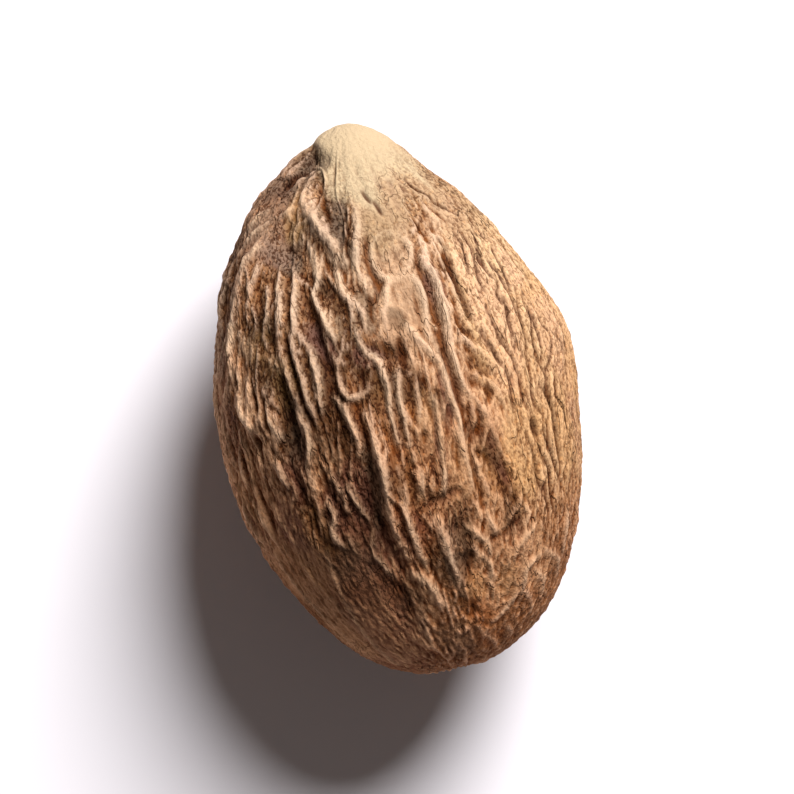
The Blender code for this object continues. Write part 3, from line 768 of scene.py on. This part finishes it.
def colours(height, crests, slits):
    """Colour of the skin on the grid, and how much dark grain lies on it."""
    crisp = (height - blur(height, 0.22)) / 0.07
    middling = (height - blur(height, 0.60)) / 0.13
    broad = np.clip((height - blur(height, 1.50)) / 0.25, -1.6, 1.2)
    # Crests paler and hollows darker: partly the skin's own colouring, partly painted shade in hollows and grooves
    # and painted highlight on crests.
    lie = np.clip(0.5 + 0.32 * crisp + 0.14 * middling + 0.08 * broad, 0.0, 1.0)
    # On the shaded fluted left and top left the crest and hollow colours are drawn together and the hollows made
    # lighter: painted light that lifts the shade.
    lie = mixed_share(lie, 0.46, 0.52 * np.maximum(FLUTED, TOP_LEFT) * (1.0 - crests))
    colour = blend(np.broadcast_to(HOLLOW_BROWN, GRID.shape), FLUTE_SHADE_LIFT_BROWN, FLUTED)
    colour = blend(colour, BODY_BROWN, rise(lie, 0.05, 0.45))
    floors = rise(-broad, 0.1, 1.1) * (1.0 - rise(-crisp, 0.4, 1.4))
    colour = blend(colour, GREY_BROWN, 0.35 * floors)
    colour = blend(colour, CREST_TAN, rise(lie, 0.50, 0.95))
    # Raised ground lighter and sunken ground darker: painted light and painted shade.
    colour = colour * (1.0 + 0.16 * broad)[..., None]
    # Pale and dark patches: paler or darker skin, partly painted light and painted shade that brighten or darken
    # places by how the light falls on them.
    pale, dark = patches(PALE_AND_LIT_PATCHES), patches(DARK_AND_SHADE_PATCHES)
    colour = blend(colour, PALE_TAN, np.maximum(0.65 * pale, 0.72 * RINGED) * rise(lie, 0.05, 0.55))
    colour = colour * (1.0 + 0.20 * pale - 0.23 * dark + 0.16 * UPPER_RING)[..., None]
    colour = colour * (1.0 - 0.40 * dark * (1.0 - rise(lie, 0.65, 0.95)))[..., None]
    colour = blend(colour, MAUVE, 0.45 * patches(MAUVE_PATCHES) * (1.0 - rise(lie, 0.5, 0.8)))
    colour = blend(colour, GREY_BROWN, 0.55 * patches(GREY_PATCHES) * (1.0 - rise(lie, 0.5, 0.9)))
    colour = blend(colour, RUST, 0.38 * patches(RUST_PATCHES))
    colour = blend(colour, DUN, 0.55 * TOP_LEFT * (1.0 - rise(lie, 0.6, 0.9)))
    colour = blend(colour, MAUVE, 0.5 * rise(noise(1.2, 1.8, 41), 0.4, 1.6) * (1.0 - rise(lie, 0.4, 0.7)))
    colour = blend(colour, RUST, 0.22 * rise(noise(0.9, 1.4, 52), 1.0, 2.2))
    colour = blend(colour, OLIVE, 0.20 * rise(noise(0.8, 1.2, 43), 1.1, 2.2))
    colour = blend(colour, PLATEAU_GOLD, 0.80 * np.maximum(PLATEAU, 0.7 * NECK) * rise(lie, 0.1 + 0.10 * LOWER, 0.6 + 0.14 * LOWER))
    colour = blend(colour, PINK_TAN, 0.40 * PLATEAU * rise(noise(0.7, 1.3, 44), 0.1, 1.5))
    colour = blend(colour, OLD_GOLD, 0.30 * PLATEAU * rise(noise(0.8, 1.6, 45), 0.3, 1.6))
    # Crests on the plateau lighter: partly paler skin, partly painted highlight.
    colour = colour * (1.0 + 0.16 * PLATEAU * rise(lie, 0.60, 0.95))[..., None]
    colour = blend(colour, OLD_GOLD, 0.32 * patches(GOLD_PATCHES))
    colour = colour * (1.0 - 0.26 * NECK * (1.0 - CREAM))[..., None]
    to_blunt = rise(-GRID_Y, -6.5, 4.0) * (1.0 - 0.5 * PLATEAU)
    colour = colour * mixed_share(np.array(POINT_TINT), np.array(BLUNT_TINT), to_blunt[..., None])
    # Drawn crests painted pale: partly the paler skin of the ridges, partly painted highlight where they catch the
    # light.
    colour = blend(colour, CREST_PALE, 0.62 * crests * (1.0 - PLATEAU) * (1.0 - 0.55 * FLUTED))
    # Blunt end lighter on top: painted light, like light thrown back from the floor.
    colour = colour * (1.0 + 0.40 * UPPER * rise(-GRID_Y, 9.5, 12.5))[..., None]
    colour = blend(colour, BUTTON_CREAM, CREAM * (0.5 + 0.5 * rise(lie, 0.0, 0.4)))
    # Far left side lighter: painted light, like light thrown back from the floor on that side.
    colour = colour * (1.0 + 0.35 * rise(-GRID_X, 6.4, 8.2) + 0.25 * rise(-GRID_X, 8.6, 9.4))[..., None]
    colour = blend(colour, SLIT_BROWN, 0.9 * slits)
    grain = (1.0 - 0.25 * PLATEAU) * (1.0 - 0.90 * BUTTON) * (1.0 - 0.60 * CREAM)
    grain *= (1.0 - 0.65 * rise(lie, 0.60, 0.95)) * (1.0 - 0.40 * pale) * (1.0 - 0.5 * RINGED) * (1.0 - 0.5 * FLUTED)
    grain *= 1.0 - 0.45 * rise(ROW_ALONG, 0.74, 0.90)[:, None]
    cracked = (0.55 + 0.10 * PLATEAU) * (1.0 - 0.50 * CREAM) * (1.0 - 0.7 * BUTTON)
    return colour, grain, cracked


def read_grid(field, along, turn):
    """Values of a grid field at places on the seed, smoothly between the grid's points."""
    row = np.interp(along, PATH_ALONG, PATH_LENGTH) / ROW_STEP - 0.5
    column = (turn + math.pi) / (2.0 * math.pi) * COLUMNS - 0.5
    low_row = np.clip(np.floor(row).astype(int), 0, ROWS - 2)
    low_column = np.floor(column).astype(int)
    down = np.clip(row - low_row, 0.0, 1.0)
    right = column - low_column
    near, far = low_column % COLUMNS, (low_column + 1) % COLUMNS
    upper = field[low_row, near] * (1.0 - right) + field[low_row, far] * right
    lower = field[low_row + 1, near] * (1.0 - right) + field[low_row + 1, far] * right
    return upper * (1.0 - down) + lower * down


# ---------------------------------------------------------------- the skin's mesh

def round_cage():
    """A sphere of six square panels, whose cells are all close to one size."""
    cage = bmesh.new()
    bmesh.ops.create_cube(cage, size=2.0)
    bmesh.ops.subdivide_edges(
        cage, edges=cage.edges[:], cuts=CELLS_PER_PANEL - 1, use_grid_fill=True
    )
    mesh = bpy.data.meshes.new("nutmeg_skin")
    cage.to_mesh(mesh)
    cage.free()
    return mesh


def coordinates(mesh):
    """The mesh's points as an array."""
    flat = np.empty(len(mesh.vertices) * 3, np.float32)
    mesh.vertices.foreach_get("co", flat)
    return flat.reshape(-1, 3).astype(float)


def place_points(mesh, points):
    """Move the mesh's points."""
    mesh.vertices.foreach_set("co", points.astype(np.float32).ravel())
    mesh.update()


def fit_to_box(points):
    """Bring the points into the solid's box, lying flat on its resting spot, in metres."""
    points = points.copy()
    points[:, 2] = np.maximum(points[:, 2], points[:, 2].min() + REST_DEPTH)
    low, high = points.min(axis=0), points.max(axis=0)
    inner_low = BOX_LOW + BOX_MARGIN * MM
    inner_high = BOX_HIGH - BOX_MARGIN * MM
    inner_low[2] = BOX_LOW[2]
    return inner_low + (points - low) / (high - low) * (inner_high - inner_low)


def nutmeg_skin():
    """The wrinkled skin with its colours, ready for its material."""
    mesh = round_cage()
    even = np.tan(coordinates(mesh) * math.pi / 4.0)
    direction = even / np.linalg.norm(even, axis=1, keepdims=True)
    along = (1.0 - direction[:, 1]) / 2.0
    turn = np.arctan2(direction[:, 0], direction[:, 2])
    turn -= CROWDING * np.sin(turn)
    place_points(mesh, smooth_point(along, turn))
    normal = np.empty(len(mesh.vertices) * 3, np.float32)
    mesh.vertex_normals.foreach_get("vector", normal)
    height, crests, slits = relief()
    lifted = coordinates(mesh) + normal.reshape(-1, 3) * read_grid(height, along, turn)[:, None]
    place_points(mesh, fit_to_box(lifted))
    colour, grain, cracked = colours(height, crests, slits)
    paint = np.ones((len(along), 4), np.float32)
    for channel in range(3):
        paint[:, channel] = read_grid(colour[..., channel], along, turn)
    mesh.attributes.new("paint", "FLOAT_COLOR", "POINT").data.foreach_set("color", paint.ravel())
    for name, field in (("grain", grain), ("cracked", cracked)):
        share = read_grid(field, along, turn).astype(np.float32)
        mesh.attributes.new(name, "FLOAT", "POINT").data.foreach_set("value", share)
    mesh.shade_smooth()
    skin = bpy.data.objects.new("nutmeg_skin", mesh)
    bpy.context.scene.collection.objects.link(skin)
    return skin


# ---------------------------------------------------------------- materials

SPECKLE_GRAINS = 6500.0      # to the metre
FIBRE_GRAINS = 3600.0
FIBRE_STRETCH = 0.22
SPECKLE_TINT = (0.24, 0.14, 0.09, 1.0)
CRACK_GRAINS = 1500.0
CRACK_STRETCH = 0.17
CRACK_TINT = (0.38, 0.25, 0.16, 1.0)
FLECK_TINT = (1.35, 1.25, 1.10, 1.0)


def add(tree, kind, values=None, **settings):
    """A node with its settings; the values go to its inputs, as links where they are sockets."""
    node = tree.nodes.new(kind)
    for name, value in settings.items():
        setattr(node, name, value)
    for name, value in (values or {}).items():
        if isinstance(value, bpy.types.NodeSocket):
            tree.links.new(value, node.inputs[name])
        else:
            node.inputs[name].default_value = value
    return node


def tinted(tree, share, colour, tint):
    """The colour multiplied by a tint, by a share socket."""
    node = add(tree, "ShaderNodeMix", data_type="RGBA", blend_type="MULTIPLY")
    node.clamp_result = False
    tree.links.new(share, node.inputs[0])
    tree.links.new(colour, node.inputs[6])
    node.inputs[7].default_value = tint
    return node.outputs[2]


def grains(tree, place, scale, detail, low, high):
    """Noise and a mask of the part of it between low and high."""
    cloud = add(tree, "ShaderNodeTexNoise", {
        "Vector": place, "Scale": scale, "Detail": detail, "Roughness": 0.65,
    })
    mask = add(tree, "ShaderNodeMapRange", {
        "Value": cloud.outputs["Fac"], "From Min": low, "From Max": high,
    }, clamp=True)
    return cloud.outputs["Fac"], mask.outputs["Result"]


def cracks(tree, place, scale, width):
    """A mask of thin dark lines that wander between cells of the given number to the metre."""
    cloud = add(tree, "ShaderNodeTexNoise", {
        "Vector": place, "Scale": scale, "Detail": 2.0, "Roughness": 0.45,
    })
    apart = add(tree, "ShaderNodeMath", {0: cloud.outputs["Fac"], 1: 0.5}, operation="SUBTRACT")
    apart = add(tree, "ShaderNodeMath", {0: apart.outputs[0]}, operation="ABSOLUTE")
    mask = add(tree, "ShaderNodeMapRange", {
        "Value": apart.outputs[0], "From Min": 0.0, "From Max": width, "To Min": 1.0, "To Max": 0.0,
    }, clamp=True)
    return mask.outputs["Result"]


def product(tree, first, second):
    """One share of another."""
    node = add(tree, "ShaderNodeMath", operation="MULTIPLY")
    for socket, value in zip(node.inputs, (first, second)):
        if isinstance(value, bpy.types.NodeSocket):
            tree.links.new(value, socket)
        else:
            socket.default_value = value
    return node.outputs[0]


def shell_material():
    """Dry brown shell: the painted colours under dark specks, pale flecks and fibres."""
    material = bpy.data.materials.new("nutmeg_shell")
    material.use_nodes = True
    tree = material.node_tree
    shader = tree.nodes["Principled BSDF"]
    place = add(tree, "ShaderNodeTexCoord").outputs["Object"]
    long_place = add(tree, "ShaderNodeMapping", {
        "Vector": place, "Scale": (1.0, FIBRE_STRETCH, 1.0),
    }).outputs["Vector"]
    speck_place = add(tree, "ShaderNodeMapping", {
        "Vector": place, "Scale": (1.0, 0.6, 1.0),
    }).outputs["Vector"]
    paint = add(tree, "ShaderNodeAttribute", attribute_name="paint").outputs["Color"]
    grain = add(tree, "ShaderNodeAttribute", attribute_name="grain").outputs["Fac"]
    cracked = add(tree, "ShaderNodeAttribute", attribute_name="cracked").outputs["Fac"]
    specks, dark = grains(tree, speck_place, SPECKLE_GRAINS, 1.0, 0.49, 0.58)
    _, pale = grains(tree, speck_place, 0.8 * SPECKLE_GRAINS, 1.0, 0.42, 0.30)
    fibres, lines = grains(tree, long_place, FIBRE_GRAINS, 3.0, 0.50, 0.66)
    colour = tinted(tree, product(tree, product(tree, dark, grain), 0.85), paint, SPECKLE_TINT)
    colour = tinted(tree, product(tree, product(tree, lines, grain), 0.40), colour, SPECKLE_TINT)
    colour = tinted(tree, product(tree, pale, grain), colour, FLECK_TINT)
    crack_place = add(tree, "ShaderNodeMapping", {
        "Vector": place, "Scale": (1.0, CRACK_STRETCH, 1.0),
    }).outputs["Vector"]
    _, gaps = grains(tree, place, 420.0, 1.0, 0.44, 0.56)
    fine_cracks = cracks(tree, crack_place, CRACK_GRAINS, 0.022)
    fine_cracks = product(tree, product(tree, fine_cracks, gaps), cracked)
    colour = tinted(tree, fine_cracks, colour, CRACK_TINT)
    tree.links.new(colour, shader.inputs["Base Color"])
    shader.inputs["Roughness"].default_value = 0.74
    shader.inputs["Specular IOR Level"].default_value = 0.03
    fibre_bump = add(tree, "ShaderNodeBump", {
        "Height": fibres, "Strength": 0.7, "Distance": 0.00010,
    })
    bump = add(tree, "ShaderNodeBump", {
        "Height": specks, "Strength": 0.9, "Distance": 0.00007, "Normal": fibre_bump.outputs["Normal"],
    }, invert=True)
    crack_bump = add(tree, "ShaderNodeBump", {
        "Height": fine_cracks, "Strength": 0.9, "Distance": 0.00012, "Normal": bump.outputs["Normal"],
    }, invert=True)
    tree.links.new(crack_bump.outputs["Normal"], shader.inputs["Normal"])
    return material


def floor_material():
    """Plain pale floor."""
    material = bpy.data.materials.new("pale_floor")
    material.use_nodes = True
    shader = material.node_tree.nodes["Principled BSDF"]
    shader.inputs["Base Color"].default_value = (0.73, 0.71, 0.76, 1.0)
    shader.inputs["Roughness"].default_value = 0.9
    shader.inputs["Specular IOR Level"].default_value = 0.1
    return material


# ---------------------------------------------------------------- floor, light and camera

VIEW_ROLL = math.radians(-14.0)    # the point leans to the left in the view
CAMERA_HEIGHT = 0.19
CAMERA_LENS = 160.0
KEY_TURN = math.radians(26.0)      # clockwise from the top of the view
KEY_RISE = math.radians(43.0)
KEY_DISTANCE = 0.5
KEY_SIZE = 0.25
KEY_POWER = 6.1
FILL_STRENGTH = 0.115
FLOOR_HALF = 0.36


def in_view(clockwise):
    """Level direction at an angle clockwise from the top of the picture."""
    angle = clockwise - VIEW_ROLL
    return Vector((math.sin(angle), math.cos(angle), 0.0))


def add_floor():
    """A wide flat floor."""
    sheet = bmesh.new()
    bmesh.ops.create_grid(sheet, x_segments=1, y_segments=1, size=FLOOR_HALF)
    mesh = bpy.data.meshes.new("floor")
    sheet.to_mesh(mesh)
    sheet.free()
    mesh.materials.append(floor_material())
    floor = bpy.data.objects.new("floor", mesh)
    bpy.context.scene.collection.objects.link(floor)


def add_light():
    """One soft lamp from the upper right of the view, and a weak even fill."""
    middle = Vector(((BOX_LOW + BOX_HIGH) / 2.0))
    toward = in_view(KEY_TURN) * math.cos(KEY_RISE) + Vector((0.0, 0.0, math.sin(KEY_RISE)))
    lamp = bpy.data.lights.new("key", "AREA")
    lamp.shape = "DISK"
    lamp.size = KEY_SIZE
    lamp.energy = KEY_POWER
    lamp.color = (1.0, 0.985, 0.965)
    key = bpy.data.objects.new("key", lamp)
    key.location = middle + toward * KEY_DISTANCE
    key.rotation_euler = toward.to_track_quat("Z", "Y").to_euler()
    bpy.context.scene.collection.objects.link(key)
    world = bpy.data.worlds.new("studio")
    world.use_nodes = True
    tree = world.node_tree
    fill = tree.nodes["Background"]
    fill.inputs["Color"].default_value = (1.0, 0.86, 0.78, 1.0)
    fill.inputs["Strength"].default_value = FILL_STRENGTH
    backdrop = add(tree, "ShaderNodeBackground", {"Color": (1.0, 1.0, 1.0, 1.0), "Strength": 0.75})
    seen = add(tree, "ShaderNodeLightPath").outputs["Is Camera Ray"]
    either = add(tree, "ShaderNodeMixShader", {0: seen, 1: fill.outputs[0], 2: backdrop.outputs[0]})
    tree.links.new(either.outputs[0], tree.nodes["World Output"].inputs["Surface"])
    bpy.context.scene.world = world


def add_camera():
    """A camera straight above the seed."""
    lens = bpy.data.cameras.new("camera")
    lens.lens = CAMERA_LENS
    lens.clip_start = 0.01
    lens.clip_end = 10.0
    camera = bpy.data.objects.new("camera", lens)
    middle = Vector(((BOX_LOW + BOX_HIGH) / 2.0))
    camera.location = middle + Vector((0.0, 0.0, CAMERA_HEIGHT))
    camera.rotation_euler = (0.0, 0.0, VIEW_ROLL)
    bpy.context.scene.collection.objects.link(camera)
    bpy.context.scene.camera = camera


skin = nutmeg_skin()
skin.data.materials.append(shell_material())
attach(skin, "root")
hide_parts(NODE)
add_floor()
add_light()
add_camera()
bpy.context.scene.view_settings.view_transform = "Standard"
